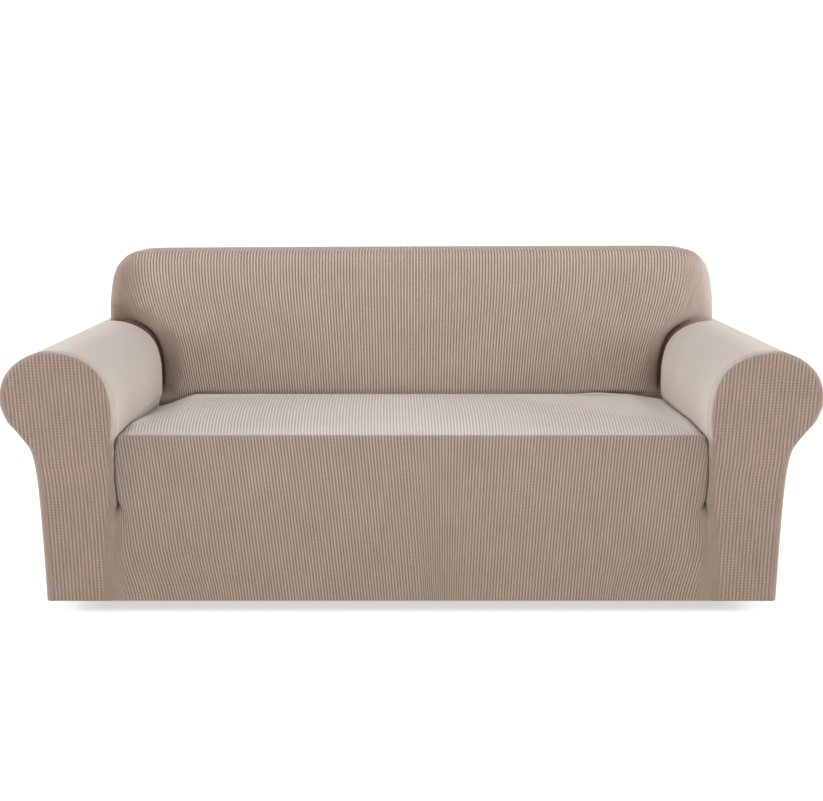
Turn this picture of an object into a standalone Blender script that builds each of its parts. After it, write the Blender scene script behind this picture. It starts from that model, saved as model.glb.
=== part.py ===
"""A fitted stretch-knit slipcover with a seat, a back and two rolled arms, as eight sewn cloth panels.

Metres. While the panels are shaped, x runs across from the middle, y from the arm fronts to the rear and
z up from the hem. The finished objects are placed so that the origin is the point under the top of the back
where the cover is held up.
"""
import math

import bmesh
import bpy
import numpy as np

# Cloth and seams
CLOTH = 0.0022  # thickness of the knit
SEAM = 0.0004  # gap left between two panels along a sewn seam
CREVICE = 0.0015  # gap between two panels that are pushed into the same crevice
RIBBED_COLOR = (0.42, 0.34, 0.28, 1.0)
SMOOTH_COLOR = (0.57, 0.51, 0.46, 1.0)
ROUGHNESS = 0.9
WELD = 0.00002  # distance under which points of one panel are the same point

# Whole cover
DEPTH = 0.870  # arm fronts to the rear panel
REAR_ROUND = 0.010  # rounding of the rear panel's rim
REAR_WALL = 0.0025  # straight cloth between that rounding and the seam
REAR_SEAM = DEPTH - REAR_ROUND - REAR_WALL
REAR_FAN = 0.70  # height from which the rear panel's cells spread out to its top
REAR_CORNER = 0.004  # least length of its outline beside the corner of roll and back
HOLD = (0.0, 0.785, 0.8298)  # where the cover is held, on the inner face of its top

# Arms
FRONT_ROUND = 0.012  # rounding of the arm front's rim
FRONT_SEAM = 0.0145  # seam between an arm front and its sleeve
ARM_SPLAY = 0.009  # how far the inner side of the arm moves out towards the rear
SPLAY_PLACES = (0.72, 0.90)  # the splay is whole inside the first place and none outside the second
ARM_SECTION = (
    # out from the middle, up from the hem
    (0.909, 0.000),  # hem of the outer side
    (0.912, 0.160),
    (0.9175, 0.300),
    (0.9275, 0.372),  # hollow under the roll
    (0.943, 0.402),
    (0.964, 0.429),
    (0.986, 0.458),
    (1.000, 0.505),  # widest point of the roll
    (0.989, 0.555),
    (0.964, 0.589),
    (0.925, 0.614),
    (0.875, 0.627),  # top of the roll
    (0.820, 0.621),
    (0.770, 0.598),
    (0.737, 0.561),
    (0.7215, 0.509),
    (0.7185, 0.460),  # inner side
    (0.7192, 0.430),
    (0.7208, 0.4165),  # where the seat meets it
    (0.7250, 0.4065),
    (0.7285, 0.394),
    (0.7305, 0.372),  # bottom of the crevice
)
FRONT_CREASE = (
    # up from the hem, out from the middle: line where the skirt and the arm front meet
    (0.000, 0.745),
    (0.120, 0.739),
    (0.215, 0.729),
    (0.245, 0.7265),
    (0.280, 0.7290),
    (0.310, 0.7308),
    (0.345, 0.7308),
    (0.368, 0.7300),
    (0.395, 0.7275),
    (0.406, 0.7242),
    (0.416, 0.7200),
)
CREASE_END = (0.218, 0.258)  # the crease is open above the second height and smooth below the first
CREASE_DEPTH = 0.045  # how far in both panels are pushed along the open crease
CREASE_TOP = 0.368  # the arm front's edge follows the crease below this height
PUSHED_TOP = 0.363  # and is pushed in below this one
CREASE_SLOPE = 0.022  # width of the slope that joins arm front and skirt below the crease
STEM_HEIGHTS = (0.0, 0.09, 0.17, 0.218, 0.238, 0.258, 0.30, 0.340, 0.358, 0.369, 0.405, 0.43)
STEM_MIDDLE = ((0.0, 0.24, 0.43), (0.828, 0.832, 0.845))  # heights and places of the arm front's middle line
ROLL_CENTRE = (0.862, 0.500)

# Seat panel and skirt
SEAT_HEIGHT = 0.416
SEAT_RISE = 0.003  # how much higher the seat is at the rear
SEAT_FRONT = 0.020  # how far the skirt lies behind the arm fronts
SKIRT_HEM_FORWARD = 0.0185  # how much of that is lost at the hem
SKIRT_FLARE = 1.5  # how late the skirt comes forward on its way down
SKIRT_HEIGHTS = (0.0, 0.06, 0.12, 0.17, 0.218, 0.238, 0.258, 0.30, 0.35, 0.39, 0.411)
SKIRT_TUCK = 0.016  # rounding of its sides into the open crease
SKIRT_SLOPES = (0.03, 0.10)  # columns of cells beside that rounding
SEAT_EDGE = 0.005  # rounding of the front edge
EDGE_SEAM = 0.002  # how far behind that rounding the seat is sewn on
SEAT_HALF = 0.7175
SEAT_REAR = 0.609
SEAT_CORNERS = (0.060, 0.030)  # plan radius of the left and the right rear corner
SEAT_ROUND = 0.022  # rounding of the sides and rear
SEAT_WALL = 0.020  # straight cloth below that rounding
SEAT_CROWN = 0.008
SEAT_FAN = 0.9  # share of the front edge from which the seat's cells spread out to its sides
SEAT_CORNER_DROPS = (0.020, 0.005)
DROP_FROM = (0.62, 0.3)  # place across and share of the depth where the drop begins
CORNER_CUT = 0.35  # slant of the skirt's pushed-in edge at the front corners
CORNER_STEP = 0.0042  # how far back each lower row of the seat's pushed-in edge begins
FOLD = {"x": 0.535, "y": 0.575, "half_length": 0.085, "half_width": 0.012, "height": 0.005}

SLEEVE_SPACING = 0.006  # least step between two columns of a sleeve, as a share of its section

# Inside back
BACK_FOOT = 0.611  # front face where it meets the seat
BACK_LEAN = 0.165  # how far the face leans back for each metre of height
BACK_LEAN_FROM = 0.425
BACK_CROWN = 0.010
BACK_ROUND = 0.040  # rounding from the face into the top and the sides
BACK_TURNS = 4  # flat steps in that rounding
BACK_OUTLINE = (
    # out from the middle, up from the hem
    (0.886, 0.610),
    (0.886, 0.670),
    (0.8825, 0.7155),
    (0.8745, 0.7615),
    (0.8565, 0.7985),
    (0.8225, 0.8240),
    (0.771, 0.8305),
    (0.590, 0.8315),
    (0.000, 0.8320),
)
BACK_TIES = (
    # point of the lower edge, point of the rounding's start: ends of one column of cloth cells
    ((0.770, 0.570), (0.815, 0.775)),
    ((0.745, 0.490), (0.730, 0.790)),
    ((0.748, 0.372), (0.610, 0.791)),
)
BACK_SPACING = 0.03  # least step between two columns, where 1 is the step between two ties
BACK_NOTCH_FROM = 0.815  # place on the roll from which the lower edge follows the arm
BACK_NOTCH_TO = 0.440  # height below which it runs straight down
BACK_TUCK = 0.372  # lower edge, pushed down behind the seat
BEHIND_SLEEVE = 0.010  # cloth of the back that runs on behind the end of each sleeve


def smooth_step(start, end, value):
    t = np.clip((value - start) / (end - start), 0.0, 1.0)
    return t * t * (3.0 - 2.0 * t)


def smooth_curve(points, steps=24):
    """A dense Catmull-Rom line through the points."""
    points = np.array(points, float)
    ends = np.vstack([2 * points[0] - points[1], points, 2 * points[-1] - points[-2]])
    t = np.linspace(0.0, 1.0, steps, endpoint=False)[:, None]
    parts = []
    for a, b, c, d in zip(ends, ends[1:], ends[2:], ends[3:]):
        squared = (2 * a - 5 * b + 4 * c - d) * t**2
        cubed = (3 * b - a - 3 * c + d) * t**3
        parts.append(0.5 * (2 * b + (c - a) * t + squared + cubed))
    return np.vstack(parts + [points[-1:]])


def lengths(line):
    steps = np.linalg.norm(np.diff(line, axis=0), axis=1)
    return np.concatenate([[0.0], np.cumsum(steps)])


def at_share(line, share):
    """Points at these shares of the line's length."""
    run = lengths(line)
    return np.stack([np.interp(np.asarray(share) * run[-1], run, line[:, k]) for k in (0, 1)], axis=-1)


def bend_shares(line, count, straight=0.16, turn=0.30):
    """Shares of the length that are close together where the line bends: about one for each straight
    stretch of the given length and for each turn of the given angle."""
    steps = np.diff(line, axis=0)
    angle = np.unwrap(np.arctan2(steps[:, 1], steps[:, 0]))
    turning = np.concatenate([[0.0], np.abs(np.diff(angle))])
    measured = np.linalg.norm(steps, axis=1) / straight + turning / turn
    measure = np.concatenate([[0.0], np.cumsum(measured)])
    run = lengths(line)
    return np.interp(np.linspace(0.0, measure[-1], count), measure, run / run[-1])


def outward_normals(line, inside):
    """Unit normals of the line, pointing away from the inside point."""
    tangent = np.gradient(line, axis=0)
    normal = np.stack([tangent[:, 1], -tangent[:, 0]], axis=1)
    normal /= np.linalg.norm(normal, axis=1, keepdims=True)
    away = np.sum((line - np.array(inside)) * normal, axis=1)
    return normal * np.sign(away.sum())


def mirrored(half):
    """The whole line, from -x through the middle to +x, of a half that runs from +x to the middle."""
    return np.vstack([half * [-1, 1], half[-2::-1]])


ARM_LINE = smooth_curve(ARM_SECTION)
BACK_LINE = smooth_curve(BACK_OUTLINE)


def splayed(x, y):
    """Moves points of the arm's section out with their distance from the front, on the inner side."""
    inner, outer = SPLAY_PLACES
    share = np.clip((outer - x) / (outer - inner), 0.0, 1.0)
    return x + ARM_SPLAY * share * smooth_step(0.0, SEAT_REAR, y)


def roll_share(x):
    """Share of the arm's line at which it passes over the place x on its roll."""
    run = lengths(ARM_LINE) / lengths(ARM_LINE)[-1]
    over = slice(int(np.argmax(ARM_LINE[:, 0])), int(np.argmin(ARM_LINE[:, 0])))
    return np.interp(x, ARM_LINE[over, 0][::-1], run[over][::-1])


def crease_x(z):
    heights, places = np.array(FRONT_CREASE).T
    return np.interp(z, heights, places)


def crease_open(z):
    return smooth_step(*CREASE_END, z)


def back_face(x, z):
    """Depth of the front face of the inside back."""
    lean = BACK_LEAN * np.maximum(0.0, z - BACK_LEAN_FROM)
    rise = np.clip((z - BACK_LEAN_FROM) / (BACK_OUTLINE[-1][1] - BACK_LEAN_FROM), 0.0, 1.0)
    across = np.clip(1.0 - (x / BACK_OUTLINE[0][0]) ** 2, 0.0, 1.0)
    return BACK_FOOT + lean - BACK_CROWN * across * np.sin(math.pi * rise)


def seat_top(x, y):
    """Height of the seat, with its crown, low rear corners and one small fold."""
    along = np.clip((y - SEAT_FRONT) / (SEAT_REAR - SEAT_FRONT), 0.0, 1.0)
    crown = SEAT_CROWN * np.clip(1.0 - (x / SEAT_HALF) ** 4, 0.0, 1.0) * np.sin(math.pi * along)
    drop_across, drop_along = DROP_FROM
    drop = np.where(x < 0.0, *SEAT_CORNER_DROPS) * smooth_step(drop_across, SEAT_HALF, np.abs(x))
    drop = drop * smooth_step(drop_along, 1.0, along)
    fold_x = (x - FOLD["x"]) / FOLD["half_length"]
    fold_y = (y - FOLD["y"]) / FOLD["half_width"]
    fold = FOLD["height"] * np.exp(-(fold_x**2) - fold_y**2)
    return SEAT_HEIGHT + SEAT_RISE * along + crown - drop + fold


def skirt_face(z):
    """Depth of the skirt, which comes forward towards the hem until it is level with the arm fronts."""
    return SEAT_FRONT - SKIRT_HEM_FORWARD * np.clip(1.0 - z / SEAT_HEIGHT, 0.0, 1.0) ** SKIRT_FLARE


def cloth_object(name, columns, rows, place, outward, color, cut=None):
    """A panel: a grid of cloth whose point in column i and row j is place(i, j), thickened inwards.

    cut(i, j) is true for the grid cells, named by their lowest column and row, that the panel lacks."""
    grid = bmesh.new()
    bmesh.ops.create_grid(grid, x_segments=columns, y_segments=rows, size=0.5)
    flat = np.array([vertex.co for vertex in grid.verts])
    column = np.rint((flat[:, 0] + 0.5) * columns).astype(int)
    row = np.rint((flat[:, 1] + 0.5) * rows).astype(int)
    gone = []
    if cut is not None:
        for face in grid.faces:
            corners = [vertex.index for vertex in face.verts]
            if cut(column[corners].min(), row[corners].min()):
                gone.append(face)
    for vertex, point in zip(grid.verts, place(column, row)):
        vertex.co = point
    bmesh.ops.delete(grid, geom=gone, context="FACES")
    bmesh.ops.remove_doubles(grid, verts=grid.verts, dist=WELD)
    grid.normal_update()
    facing = sum(face.calc_area() * face.normal.dot(outward) for face in grid.faces)
    if facing < 0.0:
        bmesh.ops.reverse_faces(grid, faces=grid.faces)
    bmesh.ops.triangulate(grid, faces=grid.faces, quad_method="SHORT_EDGE")
    mesh = bpy.data.meshes.new(name)
    grid.to_mesh(mesh)
    grid.free()
    mesh.shade_smooth()
    mesh.materials.append(knit_material(name, color))
    panel = bpy.data.objects.new(name, mesh)
    panel.location = [-value for value in HOLD]
    thicken = panel.modifiers.new("thickness", "SOLIDIFY")
    thicken.thickness = CLOTH
    thicken.offset = -1.0
    COVER.objects.link(panel)
    return panel


def knit_material(name, color):
    material = bpy.data.materials.new(name)
    material.use_nodes = True
    shader = material.node_tree.nodes["Principled BSDF"]
    shader.inputs["Base Color"].default_value = color
    shader.inputs["Roughness"].default_value = ROUGHNESS
    shader.inputs["Metallic"].default_value = 0.0
    return material


def rim_steps(turns):
    """Sine and one minus cosine of the angles that round off a rim."""
    angle = np.linspace(0.0, math.pi / 2, turns + 1)[1:]
    return np.sin(angle), 1.0 - np.cos(angle)


def seat_panel():
    """Top of the seat, wrapped round its U-shaped outline and down into the crevices."""
    half, rear = SEAT_HALF - SEAT_ROUND, SEAT_REAR - CREVICE - SEAT_ROUND
    turn = np.linspace(0.0, math.pi / 2, 13)[:, None]
    side = np.array([[half, SEAT_FRONT + SEAT_EDGE + EDGE_SEAM + SEAM]])
    halves = []
    for radius in SEAT_CORNERS:
        centre = np.array([half + ARM_SPLAY - radius, rear - radius])
        corner = centre + radius * np.hstack([np.cos(turn), np.sin(turn)])
        halves.append(np.vstack([side, corner, [[0.0, rear]]]))
    edge = np.vstack([halves[0] * [-1, 1], halves[1][-2::-1]])
    shares = bend_shares(edge, 41)
    edge_at = at_share(edge, shares)
    normal = outward_normals(edge_at, (0.0, 0.3))
    front = at_share(np.array([[-half * SEAT_FAN, side[0, 1]], [half * SEAT_FAN, side[0, 1]]]), shares)
    face_rows, sine, fall = 8, *rim_steps(3)

    def place(i, j):
        share = np.minimum(j / face_rows, 1.0)[:, None]
        flat = front[i] * (1 - share) + edge_at[i] * share
        z = seat_top(flat[:, 0], flat[:, 1])
        beyond = j - face_rows
        bend = np.clip(beyond - 1, 0, 2)
        on_rim = beyond > 0
        flat = flat + normal[i] * (on_rim * SEAT_ROUND * sine[bend])[:, None]
        z = z - on_rim * SEAT_ROUND * fall[bend] - (beyond > 3) * SEAT_WALL
        at_front = (i == 0) | (i == len(shares) - 1)
        flat[:, 1] += at_front * CORNER_STEP * np.clip(beyond, 0, 4)
        return np.column_stack([flat, z])

    return cloth_object("seat", len(shares) - 1, face_rows + 4, place, (0, 0, 1), RIBBED_COLOR)


def skirt_panel():
    """Front panel, with a tight fold at the seat edge and its sides pushed in beside the arms."""
    wall = CREASE_DEPTH - SEAT_FRONT - SKIRT_TUCK
    arc = SKIRT_TUCK * math.pi / 2
    turning = wall + np.linspace(0.0, arc, 4)
    side = np.concatenate([[0.0], turning, turning[-1] + np.array(SKIRT_SLOPES)])
    heights = np.array(SKIRT_HEIGHTS)
    sine, fall = rim_steps(3)
    half_columns = len(side) + 4
    rows = len(heights) - 1 + 4

    def place(i, j):
        mirror = np.where(i > half_columns, 1.0, -1.0)
        step = np.minimum(i, 2 * half_columns - i)
        z = heights[np.minimum(j, len(heights) - 1)]
        edge = crease_x(z) - CREVICE / 2
        inner = edge - side[-1]
        out = side[np.minimum(step, len(side) - 1)]
        middle = np.clip((step - len(side) + 1) / (half_columns - len(side) + 1), 0.0, 1.0)
        angle = np.clip((out - wall) / SKIRT_TUCK, 0.0, math.pi / 2)
        past = np.clip(out - wall - arc, 0.0, None)
        pushed_x = edge - SKIRT_TUCK * (1 - np.cos(angle)) - past
        pushed_y = np.where(out < wall, CREASE_DEPTH - out, SEAT_FRONT + SKIRT_TUCK * (1 - np.sin(angle)))
        opened = crease_open(z)
        x = (edge - out) * (1 - opened) + pushed_x * opened
        x = np.where(middle > 0, inner * (1 - middle), x)
        y = skirt_face(z) + (pushed_y - SEAT_FRONT) * opened * (middle == 0)
        low = CORNER_CUT * np.clip(wall + arc - out, 0.0, arc) + np.clip(wall - out, 0.0, None)
        top = np.clip(j - len(heights), 0, 2)
        over = j >= len(heights)
        y = y + over * SEAT_EDGE * fall[top] + (j == rows) * EDGE_SEAM
        z = z + over * SEAT_EDGE * sine[top]
        z = z - low * (middle == 0) * opened * smooth_step(0.30, SEAT_HEIGHT, z)
        return np.column_stack([x * mirror, y, z])

    return cloth_object("front_skirt", 2 * half_columns, rows, place, (0, -1, 0), RIBBED_COLOR)


def share_near(line, point):
    """Share of the line's length at its point nearest to this one."""
    nearest = int(np.argmin(np.linalg.norm(line - np.array(point), axis=1)))
    return lengths(line)[nearest] / lengths(line)[-1]


def inside_back_panel():
    """Inside back, wrapped over its rounded top and sides to the rear seam."""
    side = BACK_OUTLINE[0][0]
    rim = BACK_LINE - outward_normals(BACK_LINE, (0.0, 0.6)) * BACK_ROUND
    rim[:, 0] = np.minimum(rim[:, 0], side - BACK_ROUND)
    notch = ARM_LINE[(ARM_LINE[:, 0] < BACK_NOTCH_FROM) & (ARM_LINE[:, 1] > BACK_NOTCH_TO)]
    notch = notch + outward_normals(notch, (0.70, 0.7)) * BEHIND_SLEEVE
    notch[:, 0] = splayed(notch[:, 0], SEAT_REAR)
    foot = with_even_end(np.vstack([notch, [[notch[-1, 0], BACK_TUCK], [0.0, BACK_TUCK]]]))
    ties = np.arange(len(BACK_TIES) + 2.0)
    foot_ties = [0.0, *(share_near(foot, low) for low, high in BACK_TIES), 1.0]
    rim_ties = [0.0, *(share_near(rim, high) for low, high in BACK_TIES), 1.0]
    by_foot = np.interp(bend_shares(foot, 17), foot_ties, ties)
    by_rim = np.interp(bend_shares(rim, 17), rim_ties, ties)
    stations = np.unique(np.concatenate([by_foot, by_rim, ties]))
    stations = stations[np.append(True, np.diff(stations) > BACK_SPACING)]
    stations[-1] = ties[-1]
    foot_at = mirrored(at_share(foot, np.interp(stations, ties, foot_ties)))
    rim_at = mirrored(at_share(rim, np.interp(stations, ties, rim_ties)))
    normal = outward_normals(rim_at, (0.0, 0.6))
    normal[0], normal[-1] = (-1.0, 0.0), (1.0, 0.0)
    face_rows, sine, fall = 7, *rim_steps(BACK_TURNS)
    wall_rows = 2

    def place(i, j):
        share = np.minimum(j / face_rows, 1.0)[:, None]
        flat = foot_at[i] * (1 - share) + rim_at[i] * share
        face = back_face(flat[:, 0], flat[:, 1])
        bend = np.clip(j - face_rows - 1, 0, BACK_TURNS - 1)
        on_rim = j > face_rows
        y = face + on_rim * BACK_ROUND * fall[bend]
        flat = flat + normal[i] * (on_rim * BACK_ROUND * sine[bend])[:, None]
        wall = np.clip((j - face_rows - BACK_TURNS) / wall_rows, 0.0, 1.0)
        y = y * (1 - wall) + (REAR_SEAM - SEAM) * wall
        return np.column_stack([flat[:, 0], y, flat[:, 1]])

    rows = face_rows + BACK_TURNS + wall_rows
    return cloth_object("inside_back", len(foot_at) - 1, rows, place, (0, -1, 0), RIBBED_COLOR)


def with_even_end(line):
    """The line with points every few millimetres on its long last stretch."""
    steps = np.linspace(0.0, 1.0, 121)[1:, None]
    return np.vstack([line[:-1], line[-2] * (1 - steps) + line[-1] * steps])


def rear_outline():
    """Outline of the rear panel, from hem to middle of the top: outer side and roll, then the inside back."""
    side = BACK_OUTLINE[0][0]
    outer = ARM_LINE[: int(np.argmax(ARM_LINE[:, 1]))]
    outer = outer[outer[:, 0] > side]
    meet = float(at_share(ARM_LINE, roll_share(side))[1])
    upper = BACK_LINE[BACK_LINE[:, 1] > meet + REAR_CORNER]
    return np.vstack([outer, [[side, meet]], upper])


def outside_back_panel():
    """Rear panel, flat with a rounded rim, from the hem over the scroll ends to the top."""
    outline = mirrored(rear_outline())
    half = bend_shares(outline[: len(outline) // 2 + 1], 34, straight=0.12, turn=0.35) / 2
    shares = np.concatenate([half, 1.0 - half[-2::-1]])
    rim_at = at_share(outline, shares)
    normal = outward_normals(rim_at, (0.0, 0.4))
    normal[0], normal[-1] = (-1.0, 0.0), (1.0, 0.0)
    inner_at = rim_at - normal * REAR_ROUND
    middle_at = np.column_stack([np.zeros(len(shares)), np.minimum(inner_at[:, 1], REAR_FAN)])
    face_rows, sine, fall = 3, *rim_steps(3)

    def place(i, j):
        share = np.minimum(j / face_rows, 1.0)[:, None]
        flat = middle_at[i] * (1 - share) + inner_at[i] * share
        bend = np.clip(j - face_rows - 1, 0, 2)
        on_rim = j > face_rows
        flat = flat + normal[i] * (on_rim * REAR_ROUND * sine[bend])[:, None]
        y = DEPTH - on_rim * REAR_ROUND * fall[bend]
        y = np.where(j > face_rows + 3, REAR_SEAM + SEAM, y)
        return np.column_stack([flat[:, 0], y, flat[:, 1]])

    return cloth_object("outside_back", len(shares) - 1, face_rows + 4, place, (0, 1, 0), RIBBED_COLOR)


def sleeve_panel(name, side):
    """Arm sleeve from the crevice over the roll to the hem. Its inner part ends at the inside back."""
    back_half = BACK_OUTLINE[0][0]
    round_from = back_half - BACK_ROUND
    back_side = back_half + CREVICE
    rim_places = round_from + BACK_ROUND * np.sin(np.linspace(0.0, math.pi / 2, BACK_TURNS + 1)[:-1])
    fixed = roll_share(np.append(rim_places, back_side))
    free = bend_shares(ARM_LINE, 29)
    apart = np.abs(free[:, None] - fixed).min(axis=1)
    shares = np.sort(np.concatenate([fixed, free[apart > SLEEVE_SPACING]]))
    meets = int(np.argmin(np.abs(shares - fixed[-1])))
    section = at_share(ARM_LINE, shares)
    forward, behind = 8, 3

    def place(i, j):
        x, z = section[i].T
        bend = np.clip((x - round_from) / BACK_ROUND, 0.0, 1.0)
        stop = back_face(x, z) + BACK_ROUND * (1.0 - np.sqrt(1.0 - bend**2)) - 2 * SEAM - CREVICE / 2
        corner = back_face(back_side, section[meets, 1]) + BACK_ROUND
        stop = np.where(i > meets, stop, corner)
        share = np.minimum(j / forward, 1.0)
        y = (FRONT_SEAM + SEAM) * (1 - share) + stop * share
        rest = np.clip((j - forward) / behind, 0.0, 1.0)
        y = y * (1 - rest) + (REAR_SEAM - SEAM) * rest
        return np.column_stack([side * splayed(x, y), y, z])

    def cut(i, j):
        return i >= meets and j >= forward

    return cloth_object(name, len(shares) - 1, forward + behind, place, (0, 0, 1), SMOOTH_COLOR, cut)


def arm_front_panel(name, side):
    """Front of an arm, flat with a rounded rim; below the seat its inner rim is pushed in at the crease."""
    low = np.linspace(CREASE_TOP, 0.0, 60)
    outline = np.vstack([ARM_LINE, np.column_stack([crease_x(low) + CREVICE / 2, low])])
    run = lengths(outline) / lengths(outline)[-1]
    widest, inner = int(np.argmax(outline[:, 0])), int(np.argmin(outline[:, 0]))
    outer_stem = np.interp(STEM_HEIGHTS, outline[:widest, 1], run[:widest])
    inner_stem = np.interp(STEM_HEIGHTS, outline[:inner:-1, 1], run[:inner:-1])
    roll = (run > outer_stem[-1]) & (run < inner_stem[-1])
    roll_run = bend_shares(outline[roll], 23, straight=0.10)
    over_roll = outer_stem[-1] + (inner_stem[-1] - outer_stem[-1]) * roll_run
    shares = np.concatenate([outer_stem, over_roll[1:-1], inner_stem[::-1]])
    stem_count = len(STEM_HEIGHTS)
    rim_at = at_share(outline, shares)
    dense = outward_normals(outline, (0.83, 0.3))
    normal = np.stack([np.interp(shares, run, dense[:, k]) for k in (0, 1)], axis=1)
    normal /= np.linalg.norm(normal, axis=1, keepdims=True)
    normal[0], normal[-1] = (1.0, 0.0), (-1.0, 0.0)
    below = (np.arange(len(shares)) >= len(shares) - stem_count) & (rim_at[:, 1] < PUSHED_TOP)
    pushed = np.where(below, crease_open(rim_at[:, 1]), 1.0)
    width = CREASE_SLOPE * (1 - pushed) + FRONT_ROUND * pushed
    slope = skirt_face(rim_at[:, 1]) - SEAM
    depth = np.where(below, slope * (1 - pushed) + CREASE_DEPTH * pushed, FRONT_SEAM)
    inner_at = rim_at - normal * width[:, None]
    core_at = np.tile(ROLL_CENTRE, (len(shares), 1))
    core_at[:stem_count] = np.column_stack([np.interp(STEM_HEIGHTS, *STEM_MIDDLE), STEM_HEIGHTS])
    core_at[-stem_count:] = core_at[:stem_count][::-1]
    face_rows, rim_rows, sine, fall = 2, 4, *rim_steps(3)

    def place(i, j):
        share = np.minimum(j / face_rows, 1.0)[:, None]
        flat = core_at[i] * (1 - share) + inner_at[i] * share
        on_rim = j > face_rows
        bend = np.clip(j - face_rows - 1, 0, 2)
        level = np.clip((j - face_rows) / rim_rows, 0.0, 1.0)
        out = np.where(on_rim, sine[bend], 0.0) * pushed[i] + level * (1 - pushed[i])
        flat = flat + normal[i] * (out * width[i])[:, None]
        rounded = np.where(j == face_rows + rim_rows, depth[i], on_rim * FRONT_ROUND * fall[bend])
        y = rounded * pushed[i] + depth[i] * level**1.4 * (1 - pushed[i])
        return np.column_stack([side * flat[:, 0], y, flat[:, 1]])

    return cloth_object(name, len(shares) - 1, face_rows + rim_rows, place, (0, -1, 0), RIBBED_COLOR)


for old in list(bpy.data.objects):
    bpy.data.objects.remove(old, do_unlink=True)
COVER = bpy.data.collections.new("sofa_slipcover")
bpy.context.scene.collection.children.link(COVER)

seat_panel()
skirt_panel()
inside_back_panel()
outside_back_panel()
for side_name, side_sign in (("left", -1), ("right", 1)):
    sleeve_panel("arm_sleeve_" + side_name, side_sign)
    arm_front_panel("arm_front_" + side_name, side_sign)
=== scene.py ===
import math

import bmesh
import bpy
import mathutils
import numpy as np
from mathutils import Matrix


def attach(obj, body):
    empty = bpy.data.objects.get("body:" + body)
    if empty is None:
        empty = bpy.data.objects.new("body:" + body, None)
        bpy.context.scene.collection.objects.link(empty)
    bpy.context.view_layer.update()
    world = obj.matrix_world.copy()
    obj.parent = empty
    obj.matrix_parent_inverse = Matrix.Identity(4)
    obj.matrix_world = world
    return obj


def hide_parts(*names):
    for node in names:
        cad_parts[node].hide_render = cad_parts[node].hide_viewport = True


# Metres. While a panel is shaped, x runs across from the middle, y from the arm fronts to the rear and z up
# from the hem. finished() then moves it so that the origin is the held point under the top of the back.
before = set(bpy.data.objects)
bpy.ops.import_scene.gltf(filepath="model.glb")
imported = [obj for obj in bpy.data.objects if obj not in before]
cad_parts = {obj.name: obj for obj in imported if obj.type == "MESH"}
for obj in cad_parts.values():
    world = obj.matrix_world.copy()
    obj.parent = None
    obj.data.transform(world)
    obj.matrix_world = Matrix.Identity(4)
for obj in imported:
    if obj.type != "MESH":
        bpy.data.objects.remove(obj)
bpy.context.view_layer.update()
heldAt = np.array([0.0, 0.785, 0.8298])
cloth = {"thickness": 0.0022, "seam": 0.0004, "crevice": 0.0007, "depth": 0.870, "rearSeam": 0.8575}


# lines and small functions
def smoothStep(start, end, value):
    t = np.clip((value - start) / (end - start), 0.0, 1.0)
    return t * t * (3.0 - 2.0 * t)


def fading(start, end, value):
    return 1.0 - smoothStep(start, end, value)


def smoothCurve(points, steps=24):
    points = np.array(points, float)
    ends = np.vstack([2 * points[0] - points[1], points, 2 * points[-1] - points[-2]])
    t = np.linspace(0.0, 1.0, steps, endpoint=False)[:, None]
    parts = []
    for a, b, c, d in zip(ends, ends[1:], ends[2:], ends[3:]):
        squared = (2 * a - 5 * b + 4 * c - d) * t**2
        cubed = (3 * b - a - 3 * c + d) * t**3
        parts.append(0.5 * (2 * b + (c - a) * t + squared + cubed))
    return np.vstack(parts + [points[-1:]])


def lengths(line):
    return np.concatenate([[0.0], np.cumsum(np.linalg.norm(np.diff(line, axis=0), axis=1))])


def evenLine(line, spacing):
    run = lengths(line)
    marks = np.linspace(0.0, run[-1], max(2, int(round(run[-1] / spacing)) + 1))
    return np.column_stack([np.interp(marks, run, line[:, k]) for k in (0, 1)])


def normalsAway(line, inside):
    tangent = np.gradient(line, axis=0)
    normal = np.column_stack([tangent[:, 1], -tangent[:, 0]])
    normal /= np.linalg.norm(normal, axis=1, keepdims=True)
    return normal * np.sign(np.sum((line - np.array(inside)) * normal))


def mirroredLine(half):
    return np.vstack([half * [-1, 1], half[-2::-1]])


def nearest(line, normal, x, z):
    # foot point, unit normal and distance outwards of each point, and the place of its foot in the line
    x, z = (values.ravel() for values in np.broadcast_arrays(x, z))
    foot, away = np.empty((len(x), 2)), np.empty((len(x), 2))
    out, place = np.empty(len(x)), np.empty(len(x))
    step = np.linalg.norm(line[1] - line[0])
    batch = 4000  # points at a time, so that the table of distances stays small
    for low in range(0, len(x), batch):
        part = slice(low, low + batch)
        dx, dz = x[part, None] - line[:, 0], z[part, None] - line[:, 1]
        k = np.argmin(dx * dx + dz * dz, axis=1)
        rows = np.arange(len(k))
        side = np.column_stack([-normal[k, 1], normal[k, 0]])
        lower, upper = np.maximum(k - 1, 0), np.minimum(k + 1, len(line) - 1)
        side *= np.sign(np.sum(side * (line[upper] - line[lower]), axis=1))[:, None]
        before, after = normal[lower], normal[upper]
        turn = np.abs(before[:, 0] * after[:, 1] - before[:, 1] * after[:, 0]) / 2
        height = dx[rows, k] * normal[k, 0] + dz[rows, k] * normal[k, 1]
        wide = step + turn * np.clip(height, 0.0, None)
        shift = np.clip((dx[rows, k] * side[:, 0] + dz[rows, k] * side[:, 1]) / wide, -0.5, 0.5)
        other = np.clip(k + np.sign(shift).astype(int), 0, len(line) - 1)
        t = np.abs(shift)[:, None]
        foot[part] = line[k] * (1 - t) + line[other] * t
        n = normal[k] * (1 - t) + normal[other] * t
        n /= np.linalg.norm(n, axis=1, keepdims=True)
        away[part] = n
        out[part] = (x[part] - foot[part, 0]) * n[:, 0] + (z[part] - foot[part, 1]) * n[:, 1]
        place[part] = k + shift
    return foot, away, out, place


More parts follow.
